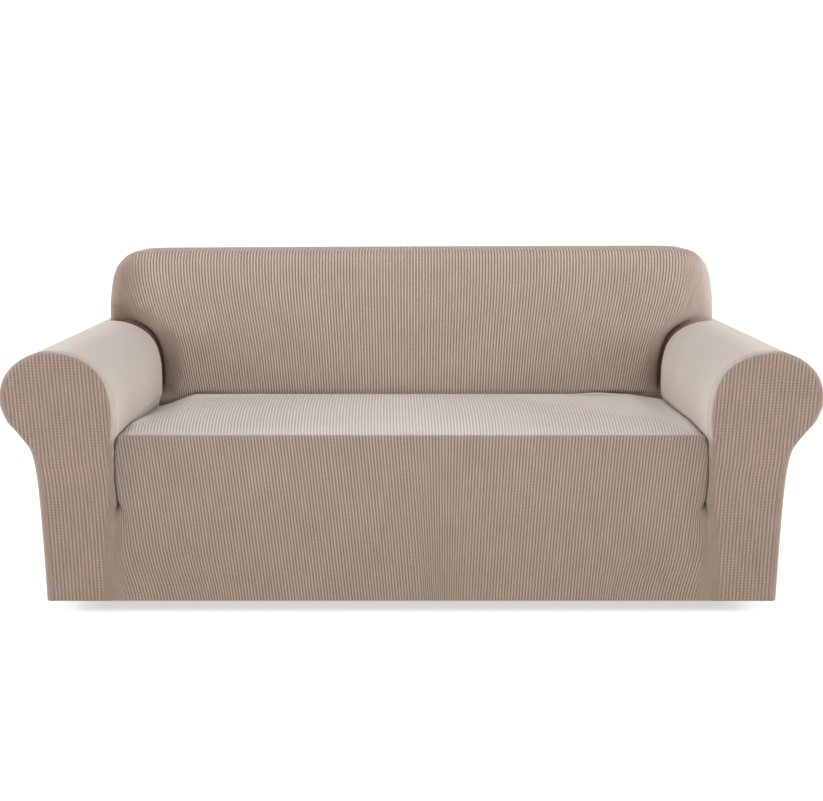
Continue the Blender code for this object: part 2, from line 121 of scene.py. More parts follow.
def overRound(line, normal, radius, x, z, reach=math.inf):
    # cloth that goes on past a line bends over a round there: its place in the plane, where it left the flat, its
    # length past the line up to reach, the angle it has turned through and the normal there
    foot, away, out, _ = nearest(line, normal, x, z)
    out = np.clip(out, None, reach)
    angle = np.clip(out / radius, 0.0, math.pi / 2)
    left = np.where(out[:, None] > 0.0, foot, np.column_stack([x.ravel(), z.ravel()]))
    return left + away * radius * np.sin(angle)[:, None], left, out, angle, away


def crossings(levels, over):
    # level at which each column of values first goes above zero, or else the last level
    end = np.empty(len(over))
    for k, column in enumerate(over):
        past = max(np.argmax(column > 0.0) if (column > 0.0).any() else len(levels) - 1, 1)
        a, b = column[past - 1], column[past]
        share = np.clip(-a / max(b - a, 1e-9), 0.0, 1.0)
        end[k] = levels[past - 1] * (1 - share) + levels[past] * share
    return end


# the form under the cloth
armLine = smoothCurve((
    # out from the middle, up from the hem, from the hem of the outer side over the roll into the crevice
    (0.909, 0.000), (0.912, 0.160), (0.9175, 0.300), (0.9275, 0.372), (0.943, 0.402), (0.964, 0.429),
    (0.986, 0.458), (1.000, 0.505), (0.989, 0.555), (0.964, 0.589), (0.925, 0.614), (0.875, 0.627),
    (0.820, 0.621), (0.770, 0.598), (0.737, 0.561), (0.7215, 0.509), (0.7185, 0.460), (0.7192, 0.430),
    (0.7208, 0.4165), (0.7250, 0.4065), (0.7285, 0.394), (0.7305, 0.372),
))
backLine = smoothCurve((
    # out from the middle, up from the hem
    (0.886, 0.610), (0.886, 0.670), (0.8825, 0.7155), (0.8745, 0.7615), (0.8565, 0.7985), (0.8225, 0.8240),
    (0.771, 0.8305), (0.590, 0.8315), (0.000, 0.832),
))
creaseTable = smoothCurve((
    # up from the hem, out from the middle
    (0.000, 0.745), (0.120, 0.739), (0.215, 0.729), (0.245, 0.7265), (0.280, 0.7290), (0.310, 0.7308),
    (0.345, 0.7308), (0.368, 0.7300), (0.395, 0.7275), (0.406, 0.7242), (0.416, 0.7200),
))
form = {
    "frontRound": 0.012, "frontSeam": 0.0145, "splay": 0.009, "creaseDepth": 0.045, "creaseSlope": 0.022,
    "creaseFrom": 0.218, "creaseTo": 0.258, "pushedTop": 0.363, "seatHeight": 0.416, "seatFront": 0.020,
    "hemForward": 0.0185, "flare": 1.5, "topSlant": 0.0036, "seatEdge": 0.005, "edgeSeam": 0.002, "seatHalf": 0.7175,
    "closedHalf": 0.00002, "seatRear": 0.609, "seatCorner": (0.060, 0.030), "seatRound": 0.014, "seatWall": 0.026,
    "seatCrown": 0.008, "cornerDrop": (0.027, 0.011), "splayBy": 0.26,
    "backFoot": 0.611, "backLean": 0.165, "leanFrom": 0.425, "backCrown": 0.010, "backRound": 0.040,
    "backSide": 0.886, "backTop": 0.832, "tuck": 0.372,
}


def creaseAt(z):
    return np.interp(z, creaseTable[:, 0], creaseTable[:, 1])


def creaseOpen(z):
    return smoothStep(form["creaseFrom"], form["creaseTo"], z)


def creaseHalf(z):
    # half the gap between skirt and arm front: shut below, open above and narrower again towards the top
    closed = form["closedHalf"]
    return closed + (cloth["crevice"] / 2 - closed) * creaseOpen(z) * (1.0 - 0.45 * smoothStep(0.29, 0.33, z))


def skirtFace(z):
    return form["seatFront"] - form["hemForward"] * np.clip(1.0 - z / form["seatHeight"], 0.0, 1.0) ** form["flare"]


def slanted(point):
    # the top of the back is a little higher on its right
    x, z = point[:, :, 0], point[:, :, 2]
    point[:, :, 2] = z + form["topSlant"] * x / form["backSide"] * smoothStep(0.66, 0.81, z)
    return point


def splayShare(x):
    # the sleeves' inner sides stand wider apart behind their fronts, and their outer sides don't
    return np.clip((0.90 - x) / 0.18, 0.0, 1.0)


def splayed(x, y):
    return x + form["splay"] * splayShare(x) * smoothStep(0.0, form["splayBy"], y)


def backFace(x, z):
    lean = form["backLean"] * np.maximum(0.0, z - form["leanFrom"])
    rise = np.clip((z - form["leanFrom"]) / (form["backTop"] - form["leanFrom"]), 0.0, 1.0)
    across = np.clip(1.0 - (x / form["backSide"]) ** 2, 0.0, 1.0)
    return form["backFoot"] + lean - form["backCrown"] * across * np.sin(math.pi * rise)


def seatTop(x, y):
    along = np.clip((y - form["seatFront"]) / (form["seatRear"] - form["seatFront"]), 0.0, 1.0)
    crown = form["seatCrown"] * np.clip(1.0 - (x / form["seatHalf"]) ** 4, 0.0, 1.0) * np.sin(math.pi * along)
    most = np.where(x < 0.0, *form["cornerDrop"])
    drop = most * smoothStep(0.62, form["seatHalf"], np.abs(x)) * smoothStep(0.15, 0.85, along)
    return form["seatHeight"] + 0.003 * along + crown - drop


def pucker(x, z):
    # small crossing wrinkles where the open crease of the skirt ends, as a depth inwards
    fromX, fromZ, width = np.abs(x) - 0.7255, z - 0.222, 0.0024
    depth = 0.0
    for slope, length, deep in ((-0.75, 0.013, 0.0026), (0.65, 0.011, 0.0022), (-0.15, 0.014, 0.0014)):
        along = (fromX * slope + fromZ) / math.hypot(1.0, slope)
        across = (fromX - fromZ * slope) / math.hypot(1.0, slope)
        depth = depth + deep * np.exp(-((along / length) ** 2) - (across / width) ** 2)
    return depth


# making a panel
def placed(name, data):
    thing = bpy.data.objects.new(name, data)
    bpy.context.scene.collection.objects.link(thing)
    return thing


def finished(name, point, flat, marks, outward, material, cut=None):
    # point and flat hold the place and the cloth's own coordinates for each column and row, marks holds masks
    # by name, and cut tells which cells the panel lacks
    columns, rows = point.shape[0] - 1, point.shape[1] - 1
    grid = bmesh.new()
    bmesh.ops.create_grid(grid, x_segments=columns, y_segments=rows, size=0.5)
    mesh = bpy.data.meshes.new(name)
    grid.to_mesh(mesh)
    grid.free()
    place = np.empty(len(mesh.vertices) * 3, np.float32)
    mesh.vertices.foreach_get("co", place)
    place = place.reshape(-1, 3)
    i = np.rint((place[:, 0] + 0.5) * columns).astype(int)
    j = np.rint((place[:, 1] + 0.5) * rows).astype(int)
    mesh.vertices.foreach_set("co", (point[i, j] - heldAt).astype(np.float32).ravel())
    corner = np.empty(len(mesh.loops), np.int32)
    mesh.loops.foreach_get("vertex_index", corner)
    layer = mesh.uv_layers.new(name="clothMetres")
    layer.uv.foreach_set("vector", flat[i, j][corner].astype(np.float32).ravel())
    for title, values in marks.items():
        mask = mesh.attributes.new(title, "FLOAT", "POINT")
        mask.data.foreach_set("value", np.clip(values[i, j], 0.0, 1.0).astype(np.float32))
    grid = bmesh.new()
    grid.from_mesh(mesh)
    if cut is not None:
        grid.faces.ensure_lookup_table()
        lowest = [(min(i[v.index] for v in f.verts), min(j[v.index] for v in f.verts)) for f in grid.faces]
        gone = [f for f, cell in zip(grid.faces, lowest) if cut(*cell)]
        bmesh.ops.delete(grid, geom=gone, context="FACES")
    bmesh.ops.remove_doubles(grid, verts=grid.verts, dist=0.00003)
    bmesh.ops.dissolve_degenerate(grid, edges=grid.edges, dist=0.00002)
    grid.normal_update()
    if sum(f.calc_area() * f.normal.dot(outward) for f in grid.faces) < 0.0:
        bmesh.ops.reverse_faces(grid, faces=grid.faces)
    for edge in grid.edges:
        edge.smooth = not edge.is_boundary
    grid.to_mesh(mesh)
    grid.free()
    mesh.shade_smooth()
    mesh.materials.append(material)
    panel = placed(name, mesh)
    thick = panel.modifiers.new("thickness", "SOLIDIFY")
    thick.thickness = cloth["thickness"]
    thick.offset = -1.0
    return panel


def raised(point, u, pitch, height, pull, toward):
    # moves the cloth out by half the height on the ribs and in by as much between them
    normal = np.cross(np.gradient(point, axis=0), np.gradient(point, axis=1))
    normal /= np.maximum(np.linalg.norm(normal, axis=2, keepdims=True), 1e-12)
    flip = np.sign(np.sum(normal * np.array(toward), axis=2, keepdims=True).sum())
    return point + flip * normal * (0.5 * np.cos(2.0 * math.pi * u / pitch) * height * (1.0 - pull))[:, :, None]


def ribColumns(low, high, pitch, perRib):
    # places of the grid columns, a whole number for each rib
    step = pitch / perRib
    first, last = math.ceil(low / step + 1e-6), math.floor(high / step - 1e-6)
    return np.concatenate([[low], np.arange(first, last + 1) * step, [high]])


def declared(panel, node):
    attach(panel, "root")
    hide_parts(node)
    print("made", panel.name, len(panel.data.vertices))


# camera, floor, light
view = {"place": (0.0, -2.9, 1.0289), "tilt": 10.20, "lens": 1219.9 * 36.0 / 823.0, "floor": -0.033}

cameraData = bpy.data.cameras.new("camera")
camera = placed("camera", cameraData)
camera.location = [a - b for a, b in zip(view["place"], heldAt)]
camera.rotation_euler = (math.radians(90.0 - view["tilt"]), 0.0, 0.0)
cameraData.sensor_fit = "HORIZONTAL"
cameraData.sensor_width = 36.0
cameraData.lens = view["lens"]
bpy.context.scene.camera = camera

light = {
    "world": 1.06,
    # name, place, point it is turned to, width, height, power, colour
    "lamps": (("top", (0.0, -0.2, 3.4), (0.0, 0.2, 0.4), 4.5, 2.0, 15.0, (0.98, 0.99, 1.0)),
              ("front", (0.0, -2.6, 3.0), (0.0, 0.6, 0.5), 3.0, 1.5, 22.0, (1.0, 0.99, 0.97)),
              ("leftSide", (-4.5, -0.4, 1.5), (0.7, 0.3, 0.5), 1.6, 1.2, 165.0, (1.0, 0.99, 0.98)),
              ("rightSide", (4.5, -0.4, 1.5), (-0.7, 0.3, 0.5), 1.6, 1.2, 165.0, (1.0, 0.99, 0.98))),
}
world = bpy.data.worlds.new("studio")
bpy.context.scene.world = world
world.use_nodes = True
background = world.node_tree.nodes["Background"]
background.inputs["Color"].default_value = (1.0, 1.0, 1.0, 1.0)
background.inputs["Strength"].default_value = light["world"]
for name, place, target, width, height, power, color in light["lamps"]:
    lampData = bpy.data.lights.new(name, "AREA")
    lampData.shape = "RECTANGLE"
    lampData.size = width
    lampData.size_y = height
    lampData.energy = power
    lampData.color = color
    lamp = placed(name, lampData)
    lamp.location = np.array(place) - heldAt
    lamp.rotation_euler = mathutils.Vector(np.array(target) - np.array(place)).to_track_quat("-Z", "Y").to_euler()

bpy.context.scene.view_settings.view_transform = "Standard"

floorGrid = bmesh.new()
bmesh.ops.create_grid(floorGrid, x_segments=1, y_segments=1, size=15.0)
floorMesh = bpy.data.meshes.new("floor")
floorGrid.to_mesh(floorMesh)
floorGrid.free()
for vertex in floorMesh.vertices:
    vertex.co.z = view["floor"] - heldAt[2]
floorMaterial = bpy.data.materials.new("floor")
floorMaterial.use_nodes = True
floorShader = floorMaterial.node_tree.nodes["Principled BSDF"]
# a pale light table, so its shadow stays faint
for title, value in (("Base Color", (0.55, 0.55, 0.55, 1.0)), ("Emission Color", (1.0, 1.0, 1.0, 1.0)),
                     ("Emission Strength", 0.58), ("Roughness", 0.9), ("Specular IOR Level", 0.1)):
    floorShader.inputs[title].default_value = value
floorMesh.materials.append(floorMaterial)
floor = placed("floor", floorMesh)
print("camera, light and floor made")


# materials
def feed(tree, socket, value):
    # sets a number or a colour, or links the output of another node
    if isinstance(value, (int, float)):
        socket.default_value = value
    elif isinstance(value, tuple):
        socket.default_value = (*value, 1.0)[: len(socket.default_value)]
    else:
        tree.links.new(value, socket)


def mathNode(tree, operation, *values):
    node = tree.nodes.new("ShaderNodeMath")
    node.operation = operation
    for socket, value in zip(node.inputs, values):
        feed(tree, socket, value)
    return node.outputs[0]


def vectorNode(tree, operation, first, second):
    node = tree.nodes.new("ShaderNodeVectorMath")
    node.operation = operation
    feed(tree, node.inputs[0], first)
    feed(tree, node.inputs["Scale" if operation == "SCALE" else 1], second)
    return node.outputs[0]


def waveNode(tree, value, period):
    # cosine of a length in metres, from 0 to 1
    angle = mathNode(tree, "MULTIPLY", value, 2.0 * math.pi / period)
    return mathNode(tree, "MULTIPLY_ADD", mathNode(tree, "COSINE", angle), 0.5, 0.5)


def noiseNode(tree, vector, scale, detail=2.0):
    node = tree.nodes.new("ShaderNodeTexNoise")
    node.inputs["Scale"].default_value = scale
    node.inputs["Detail"].default_value = detail
    tree.links.new(vector, node.inputs["Vector"])
    return node.outputs["Fac"]


def mixNode(tree, factor, first, second):
    node = tree.nodes.new("ShaderNodeMix")
    node.data_type = "RGBA"
    for index, value in ((0, factor), (6, first), (7, second)):
        feed(tree, node.inputs[index], value)
    return node.outputs[2]


def rangeNode(tree, value, low, high, toLow, toHigh):
    node = tree.nodes.new("ShaderNodeMapRange")
    titles = ("Value", "From Min", "From Max", "To Min", "To Max")
    for title, given in zip(titles, (value, low, high, toLow, toHigh)):
        feed(tree, node.inputs[title], given)
    return node.outputs["Result"]


def knitGroup(name, ribPitch, beadPitch, stitch, bead, fine, wrinkle):
    # masks of the knit: ribs, beads across them, stitches, melange, blotches, and their height
    tree = bpy.data.node_groups.new(name, "ShaderNodeTree")
    for title, kind in (("Cloth", "Vector"), ("Object", "Vector"), ("Pulled", "Float")):
        tree.interface.new_socket(title, in_out="INPUT", socket_type="NodeSocket" + kind)
    for title in ("Rib", "Yarn", "Blotch", "Height"):
        tree.interface.new_socket(title, in_out="OUTPUT", socket_type="NodeSocketFloat")
    source, result = tree.nodes.new("NodeGroupInput"), tree.nodes.new("NodeGroupOutput")
    inCloth, inObject, pulled = (source.outputs[title] for title in ("Cloth", "Object", "Pulled"))

    def product(first, second):
        return mathNode(tree, "MULTIPLY", first, second)

    def total(first, second):
        return mathNode(tree, "ADD", first, second)

    def waver(value, vector, scale, most):
        # a length in metres that wanders up to most to either side
        return total(value, rangeNode(tree, noiseNode(tree, vector, scale), 0.0, 1.0, -most, most))

    split = tree.nodes.new("ShaderNodeSeparateXYZ")
    feed(tree, split.inputs[0], inCloth)
    across, along = split.outputs[0], split.outputs[1]
    free = mathNode(tree, "SUBTRACT", 1.0, pulled)
    rib = waveNode(tree, waver(across, inCloth, 60.0, 0.0008), ribPitch)
    ribShown = total(product(rib, free), product(pulled, 0.45))
    beads = waveNode(tree, waver(along, inCloth, 24.0, 0.004), beadPitch)
    patches = rangeNode(tree, noiseNode(tree, inObject, 15.0, 3.0), 0.46, 0.60, 0.0, bead)
    beads = product(mathNode(tree, "SUBTRACT", beads, 0.5), product(patches, free))
    streaks = noiseNode(tree, vectorNode(tree, "MULTIPLY", inCloth, (0.9 / ribPitch, 14.0, 1.0)), 1.0, 1.0)
    chevron = total(along, mathNode(tree, "PINGPONG", across, stitch * 0.5))
    stitches = waveNode(tree, chevron, stitch)
    yarn = product(noiseNode(tree, inCloth, 210.0, 3.0), 0.45)
    for mask, size in ((streaks, 0.35), (beads, 0.28), (stitches, 0.10)):
        yarn = total(yarn, product(mask, size))
    ripple = product(waveNode(tree, waver(along, inObject, 14.0, 0.012), 0.0062), pulled)
    threads = noiseNode(tree, inCloth, 900.0)
    height = product(ribShown, 0.00045)
    for mask, size in ((beads, 0.00018), (stitches, 0.00010 * fine), (threads, 0.00012 * fine), (ripple, wrinkle)):
        height = total(height, product(mask, size))
    blotch = noiseNode(tree, inObject, 9.0, 3.0)
    for title, value in (("Rib", ribShown), ("Yarn", yarn), ("Blotch", blotch), ("Height", height)):
        feed(tree, result.inputs[title], value)
    return tree


def knitMaterial(name, group, low, high, clothToneAndPaintedLight, sheen, spread):
    # low is the colour of the grooves, high that of the ribs, and the third colour that of smooth pulled cloth,
    # which in some places is painted light instead
    material = bpy.data.materials.new(name)
    material.use_nodes = True
    tree = material.node_tree
    shader = tree.nodes["Principled BSDF"]
    coordinates = tree.nodes.new("ShaderNodeTexCoord")
    masks = {}
    for title in ("pulled", "shaded", "clothToneAndPaintedLight"):
        mask = tree.nodes.new("ShaderNodeAttribute")
        mask.attribute_name = title
        masks[title] = mask.outputs["Fac"]
    knit = tree.nodes.new("ShaderNodeGroup")
    knit.node_tree = group
    feed(tree, knit.inputs["Cloth"], coordinates.outputs["UV"])
    feed(tree, knit.inputs["Object"], coordinates.outputs["Object"])
    feed(tree, knit.inputs["Pulled"], masks["pulled"])
    color = mixNode(tree, rangeNode(tree, knit.outputs["Rib"], 0.15, 0.85, 0.0, 1.0), low, high)
    # the third colour, mixed in by its mask: the tone of pulled cloth, and painted light on the back, the sleeves
    # and the arm fronts' creases
    if clothToneAndPaintedLight is not None:
        color = mixNode(tree, masks["clothToneAndPaintedLight"], color, clothToneAndPaintedLight)
    tone = rangeNode(tree, knit.outputs["Yarn"], 0.20, 0.70, 1.0 - spread, 1.0 + spread)
    patch = rangeNode(tree, knit.outputs["Blotch"], 0.3, 0.7, 0.0, 1.0)
    blotch = mixNode(tree, patch, (0.96, 0.975, 0.965), (1.04, 1.02, 1.025))
    # painted shade: the shaded mask darkens the colour towards dark brown in creases, corners and other places where
    # shade falls
    dark = mixNode(tree, masks["shaded"], (1.0, 1.0, 1.0), (0.27, 0.19, 0.145))
    color = vectorNode(tree, "MULTIPLY", vectorNode(tree, "SCALE", color, tone), blotch)
    color = vectorNode(tree, "MULTIPLY", color, dark)
    bump = tree.nodes.new("ShaderNodeBump")
    for title, value in (("Strength", 1.0), ("Distance", 1.0), ("Height", knit.outputs["Height"])):
        feed(tree, bump.inputs[title], value)
    rough = rangeNode(tree, knit.outputs["Yarn"], 0.15, 0.75, 0.95, 0.82)
    for title, value in (("Base Color", color), ("Roughness", rough), ("Normal", bump.outputs["Normal"]),
                         ("Specular IOR Level", 0.20), ("Sheen Weight", sheen), ("Sheen Roughness", 0.40),
                         ("Sheen Tint", (1.0, 0.93, 0.87))):
        feed(tree, shader.inputs[title], value)
    return material


pitches = {"skirt": 0.0078, "back": 0.0088, "arm": 0.0090, "rear": 0.0090, "sleeve": 0.0034}
weaves = {
    # pitch of the ribs, of the beads across them and of the stitches, strength of the beads and of the fine grain,
    # height of the wrinkles; colours of grooves, ribs and smooth pulled cloth, sheen, spread of the yarn's tone; the
    # third colour is painted light on the back and the sleeves, and partly so in the arm fronts' creases
    "skirt": ((pitches["skirt"], 0.0062, 0.0016, 1.0, 1.0, 0.0006),
              (0.168, 0.128, 0.103), (0.320, 0.257, 0.214), (0.224, 0.165, 0.137), 0.25, 0.16),
    # the seat's colours are a lighter, greyer copy of the skirt's: painted light for its upward face
    "seat": ((pitches["skirt"], 0.0060, 0.0016, 0.05, 0.15, 0.0001),
             (0.302, 0.271, 0.247), (0.466, 0.417, 0.380), None, 0.45, 0.04),
    # the back's colours are lighter than the skirt's, partly as painted light
    "back": ((pitches["back"], 0.0062, 0.0017, 1.0, 1.0, 0.0002),
             (0.190, 0.146, 0.119), (0.425, 0.346, 0.293), (0.345, 0.285, 0.250), 0.15, 0.17),
    "arm": ((pitches["arm"], 0.0070, 0.0017, 1.0, 1.0, 0.0001),
            (0.176, 0.129, 0.107), (0.284, 0.210, 0.172), (0.335, 0.292, 0.257), 0.25, 0.20),
    "rear": ((pitches["rear"], 0.0062, 0.0017, 1.0, 1.0, 0.0006),
             (0.168, 0.128, 0.103), (0.320, 0.257, 0.214), None, 0.25, 0.17),
    "sleeve": ((pitches["sleeve"], 0.0034, 0.0014, 1.0, 1.0, 0.0006),
               (0.298, 0.264, 0.236), (0.337, 0.299, 0.268), (0.410, 0.356, 0.316), 0.45, 0.06),
}
knits = {
    name: knitMaterial(name + "Knit", knitGroup("knit" + name.capitalize(), *weave), *look)
    for name, (weave, *look) in weaves.items()
}
print("materials made")


# front skirt
skirt = {
    "perRib": 4, "ribHeight": 0.0011, "tuckRound": 0.007, "stretch": 0.055,
    # place across and how far the ribs lean from the seat edge to the hem
    "lean": ((-0.80, 0.052), (-0.35, 0.050), (-0.15, 0.042), (0.00, 0.030), (0.07, 0.004), (0.14, -0.016),
             (0.30, -0.026), (0.50, -0.034), (0.65, -0.044), (0.80, -0.050)),
}
skirt["arc"] = skirt["tuckRound"] * math.pi / 2
skirt["wall"] = form["creaseDepth"] - form["seatFront"] - skirt["tuckRound"]


def skirtX(u, z):
    down = np.clip((form["seatHeight"] - z) / form["seatHeight"], 0.0, 1.0)
    places, leans = np.array(skirt["lean"]).T
    side = smoothStep(0.45, 0.62, np.abs(u)) * np.sign(u)
    corner = -0.016 * side * smoothStep(0.62, 1.0, down) ** 1.5
    return u + np.interp(u, places, leans) * down + corner


def skirtEdge(z):
    # where the cloth ends across, and how much longer it is there than the way to the visible edge
    levels = np.linspace(form["seatHeight"] + 0.01, 0.0, 210)
    tucked = skirt["wall"] + skirt["arc"] - skirt["tuckRound"]
    true = creaseAt(levels) - creaseHalf(levels) + creaseOpen(levels) * tucked
    wide = true.copy()
    steepest = 0.10  # the edge is let narrow by this much a metre, so the columns beside it don't fold over
    for k in range(1, len(levels)):
        wide[k] = max(true[k], wide[k - 1] - steepest * (levels[k - 1] - levels[k]))
    return np.interp(z, levels[::-1], wide[::-1]), np.interp(z, levels[::-1], (wide - true)[::-1])


def makeSkirt():
    arc, wall, bend = skirt["arc"], skirt["wall"], skirt["tuckRound"]
    top = form["seatHeight"] - form["seatEdge"]
    turned = form["seatEdge"] * math.pi / 2
    rows = np.concatenate([
        [0.0, 0.003, 0.007], np.linspace(0.018, 0.160, 8), np.linspace(0.172, 0.204, 4),
        np.linspace(0.210, 0.264, 13), np.linspace(0.274, top, 15), top + turned * np.array([0.34, 0.67, 1.0]),
        [top + turned + form["edgeSeam"]],
    ])
    inner = ribColumns(-0.728, 0.728, pitches["skirt"], skirt["perRib"])
    trial = np.linspace(0.66, 0.86, 400)
    faceRows = np.minimum(rows, top)
    limits = skirtEdge(faceRows)[0]
    left, right = (
        np.array([np.interp(limit, np.abs(skirtX(sign * trial, level)), sign * trial)
                  for level, limit in zip(faceRows, limits)])
        for sign in (-1, 1)
    )
    share = np.linspace(0.0, 1.0, 40)[1:, None]
    u = np.concatenate([(inner[0] + (left - inner[0]) * share)[::-1], inner[:, None] + 0 * rows,
                        inner[-1] + (right - inner[-1]) * share])
    z = rows + 0 * u
    zFlat = np.minimum(z, top)
    x = skirtX(u, zFlat)
    edge, spare = skirtEdge(zFlat)
    room = np.clip(edge - np.abs(x), 0.0, None)
    out = room - spare * smoothStep(0.0, skirt["stretch"], room)
    opened = creaseOpen(zFlat)
    seam = creaseAt(zFlat) - creaseHalf(zFlat)
    angle = np.clip((out - wall) / bend, 0.0, math.pi / 2)
    past = np.clip(out - wall - arc, 0.0, None)
    pushedX = seam - bend * (1 - np.cos(angle)) - past
    pushedY = np.where(out < wall, form["creaseDepth"] - out, form["seatFront"] + bend * (1 - np.sin(angle)))
    placeX = (seam - out) * (1 - opened) + pushedX * opened
    y = skirtFace(zFlat) + (pushedY - form["seatFront"]) * opened
    over = np.clip((z - top) / form["seatEdge"], 0.0, math.pi / 2)
    y = y + form["seatEdge"] * (1 - np.cos(over)) + np.clip(z - top - turned, 0.0, None)
    low = 0.35 * np.clip(wall + arc - out, 0.0, arc) + np.clip(wall - out, 0.0, None)
    up = zFlat + form["seatEdge"] * np.sin(over)
    up = up - low * opened * smoothStep(0.30, form["seatHeight"], up)
    y = y + pucker(placeX, up) * smoothStep(0.0, 0.006, out)
    soft = 0.0004 * np.sin(placeX * 5.0 + 1.3) * smoothStep(0.02, 0.12, out)
    y = y - soft * smoothStep(0.0, 0.05, up) * fading(0.36, 0.41, up)
    point = np.stack([placeX * np.sign(x), y, up], axis=2)
    plain = np.interp(up, (0.0, 0.08, 0.16, 0.22), (0.026, 0.014, 0.004, 0.0))
    near = fading(plain, plain + 0.020, out)
    beside = opened * fading(wall + arc + 0.002, wall + arc + 0.030, out)
    pull = np.maximum(0.85 * near, 0.55 * beside)
    clothToneAndPaintedLight = near * (1.0 - opened)
    # painted shade: darker in the open crease, towards the hem and towards both ends
    shade = opened * fading(wall - 0.002, wall + 0.004, out) * fading(0.30, 0.35, up)
    low = 0.12 * fading(0.0, 0.34, up) * (1.0 - near)
    shade = np.maximum(shade, low + 0.05 * smoothStep(0.30, 0.60, placeX))
    point = raised(point, u, pitches["skirt"], skirt["ribHeight"], pull, (0, -1, 0))
    point[:, :, 1] = np.maximum(point[:, :, 1], 0.0003)
    marks = {"pulled": pull, "shaded": shade, "clothToneAndPaintedLight": clothToneAndPaintedLight}
    panel = finished("skirtPanel", point, np.stack([u, z], axis=2), marks, (0, -1, 0), knits["skirt"])
    declared(panel, "front_skirt")


makeSkirt()


# seat
def sleeveFoot(z):
    # how far out the inner side of a sleeve is, low down beside the seat
    low = armLine[-240:][::-1]
    return np.interp(z, low[:, 1], low[:, 0])


seat = {
    "perRib": 4, "ribHeight": 0.0016, "spread": 0.30, "spreadEase": 0.25, "shift": -0.012,
    "folds": (
        # x, y, half length, half width, height
        (0.525, 0.572, 0.070, 0.0065, 0.0060),
        (0.545, 0.590, 0.060, 0.0050, 0.0050),
    ),
    # place across and how far back the ribs still show there
    "ribsTo": ((-0.74, 0.06), (-0.704, 0.1455), (-0.6885, 0.254), (-0.663, 0.325), (-0.651, 0.477), (-0.58, 0.525),
               (-0.30, 0.585), (-0.10, 0.65), (0.20, 0.65), (0.28, 0.60), (0.355, 0.445), (0.437, 0.407),
               (0.495, 0.332), (0.581, 0.240), (0.641, 0.213), (0.673, 0.100), (0.72, 0.02)),
}


def makeSeat():
    bend, arc = form["seatRound"], form["seatRound"] * math.pi / 2
    rear = form["seatRear"] - cloth["crevice"] - bend
    front = form["seatFront"] + form["seatEdge"] + form["edgeSeam"] + cloth["seam"]
    turn = np.linspace(0.0, math.pi / 2, 40)[1:]
    halves = []
    for radius, sign in zip(form["seatCorner"], (-1, 1)):
        ys = np.linspace(front, rear - radius, 60)
        foot = sleeveFoot(seatTop(sign * 0.72 + 0 * ys, ys) - 0.008)
        sides = foot + form["splay"] * smoothStep(0.0, form["splayBy"], ys) - 0.0012 - bend
        corner = np.column_stack([sides[-1] - radius * (1 - np.cos(turn)), rear - radius * (1 - np.sin(turn))])
        halves.append(np.vstack([np.column_stack([sides, ys]), corner, [[0.0, rear]]]))
    half = halves[0][0, 0]
    edge = evenLine(np.vstack([halves[0] * [-1, 1], halves[1][-2::-1]]), 0.002)
    normal = normalsAway(edge, (0.0, 0.3))
    normal[0], normal[-1] = (-1.0, 0.0), (1.0, 0.0)
    reach = arc + form["seatWall"]
    u = ribColumns(-half - reach + 0.0001, half + reach - 0.0001, pitches["skirt"], seat["perRib"])
    levels = np.linspace(front, rear + reach + 0.004, 160)

    def across(u, y):
        return u * (1.0 + seat["spread"] * y - seat["spreadEase"] * y * y) + seat["shift"] * (y - front)

    scale = across(1.0, front)
    coarse = np.linspace(-half - reach, half + reach, 320)
    xs = across(coarse[:, None] / scale, levels)
    end = crossings(levels, nearest(edge, normal, xs, levels)[2].reshape(xs.shape) - reach)
    high = np.interp(u, coarse, np.maximum(end, front + 0.001))[:, None]
    rows = np.concatenate([np.linspace(0.0, 0.80, 22), np.linspace(0.82, 1.0, 16)])
    y = front + (high - front) * rows
    x = across(u[:, None] / scale, y)
    place, left, out, angle, _ = overRound(edge, normal, bend, x, y, reach)
    flatX, flatY = place.T
    topX, topY = left.T
    fall = bend * (1 - np.cos(angle)) + np.clip(out - arc, 0.0, None)
    z = seatTop(topX, topY) - fall
    for foldX, foldY, halfLength, halfWidth, rise in seat["folds"]:
        fold = rise * np.exp(-(((flatX - foldX) / halfLength) ** 2) - ((flatY - foldY) / halfWidth) ** 2)
        z = z + fold * (angle < 1.2)
    soft = 0.0015 * np.sin(topX * 7.0 + 0.6) * np.sin(topY * 10.0 + topX * 2.0)
    z = z + soft * smoothStep(0.0, 0.05, -out) * smoothStep(0.03, 0.10, topY)
    atFront = 0.012 * np.clip(1.0 - (flatY - front) / 0.04, 0.0, 1.0)
    flatY = flatY + smoothStep(0.0, 0.030, fall) * atFront
    point = np.stack([flatX, flatY, z], axis=1).reshape(x.shape + (3,))
    out = out.reshape(x.shape)
    ribsTo = np.interp(x, *np.array(seat["ribsTo"]).T)
    pull = np.maximum(0.8 * smoothStep(0.010, 0.022, out), 0.92 * smoothStep(-0.035, 0.055, y - ribsTo))
    uGrid = u[:, None] / scale + 0 * y
    point = raised(point, uGrid, pitches["skirt"], seat["ribHeight"], pull, (0, 0, 1))
    # painted shade along the edges beside the sleeves and the back, over the pulled cloth at the right rear and at
    # the right end
    shade = np.maximum(0.74 * smoothStep(-0.018, 0.006, out), 0.16 * pull * smoothStep(0.25, 0.45, x))
    marks = {"pulled": pull, "shaded": shade + 0.10 * smoothStep(0.58, 0.66, x)}
    panel = finished("seatPanel", point, np.stack([uGrid, y], axis=2), marks, (0, 0, 1), knits["seat"])
    declared(panel, "seat")


makeSeat()


